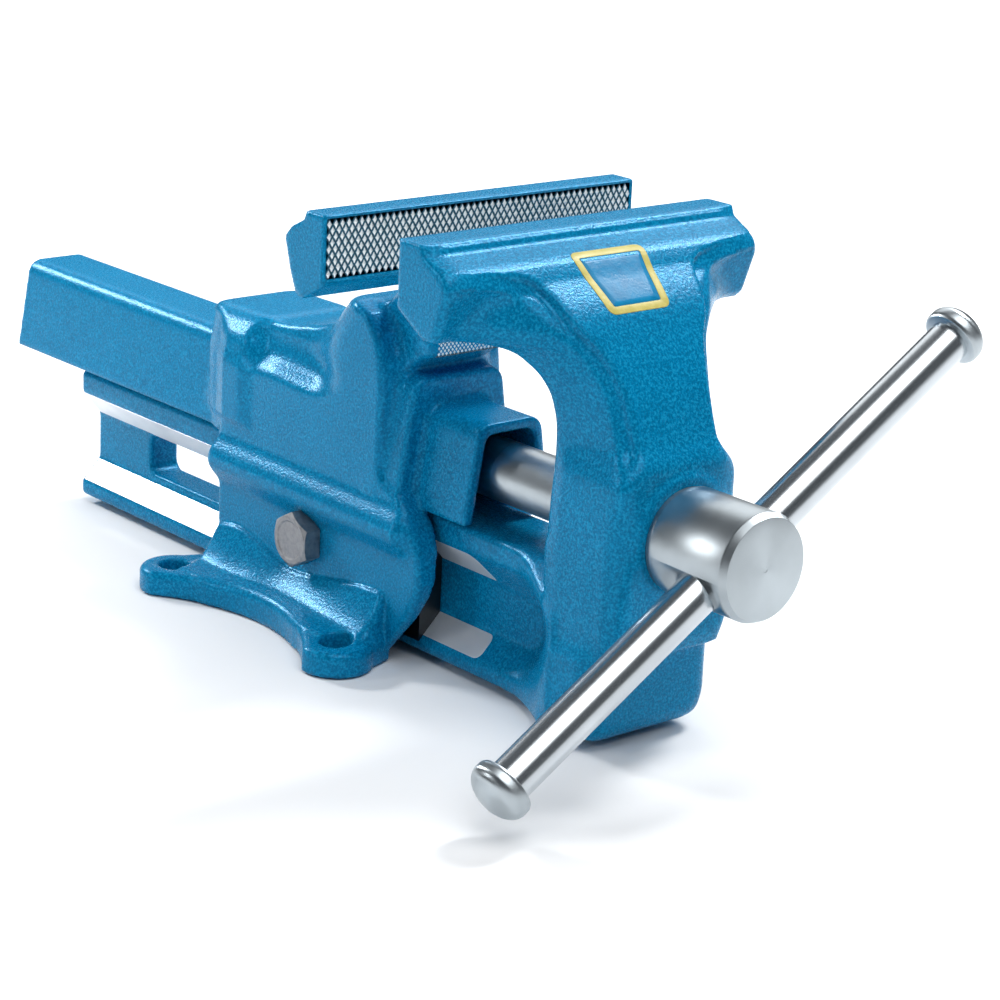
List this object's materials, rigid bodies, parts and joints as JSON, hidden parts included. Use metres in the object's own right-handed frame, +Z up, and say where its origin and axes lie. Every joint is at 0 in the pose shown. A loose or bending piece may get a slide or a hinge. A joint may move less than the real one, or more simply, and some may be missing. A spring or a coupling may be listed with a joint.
{
  "type": "bench vise",
  "caption": "Front-opening bench vise with a saddle body bolted to the bench, a sliding jaw on a guide rail, a covered screw and a sliding T-handle.",
  "frame": {"origin": "bench surface at the centre of the four foot holes", "axes": "+Z up from the bench, +Y to the rear along the spindle, +X across the jaws; the moving jaw is on the -Y side"},
  "size_m": [0.1847, 0.3633, 0.1463],
  "materials": {
    "blue_enamel": "glossy blue enamel over a rough forging skin",
    "bright_steel": "turned and ground bright steel",
    "plain_steel": "machined steel, lightly oiled",
    "zinc_steel": "dull zinc plate",
    "bronze": "machined bearing bronze",
    "yellow_label": "printed film label"
  },
  "bodies": {
    "fixed": {"fixed_body": "blue_enamel", "spindle_nut": "bronze", "nut_pins": "plain_steel", "guide_gib": "plain_steel", "gib_bolt": "zinc_steel"},
    "slider": {"moving_jaw": "blue_enamel", "spindle_bush": "bronze", "label_plate": "yellow_label"},
    "screw": {"spindle": "bright_steel", "thrust_washer": "plain_steel", "disc_springs": "plain_steel", "retaining_collar": "plain_steel", "collar_pin": "zinc_steel"},
    "handle": {"handle_bar": "bright_steel", "knob_lower": "bright_steel", "knob_upper": "bright_steel"}
  },
  "joints": [
    {"name": "jaw_slide", "type": "slide", "parent": "fixed", "child": "slider", "axis": [0, -1, 0], "range_m": [-0.0326, 0.1173]},
    {"name": "spindle_turn", "type": "hinge", "parent": "slider", "child": "screw", "pos_m": [0, -0.1718, 0.0648], "axis": [0, -1, 0], "range_deg": [-2930, 10550]},
    {"name": "handle_slide", "type": "slide", "parent": "screw", "child": "handle", "axis": [0.8517, 0, 0.524], "range_m": [-0.0815, 0.0767]}
  ],
  "couplings": [
    {"joint": "jaw_slide", "follows": "spindle_turn", "m_per_rad": 0.00063662}
  ]
}
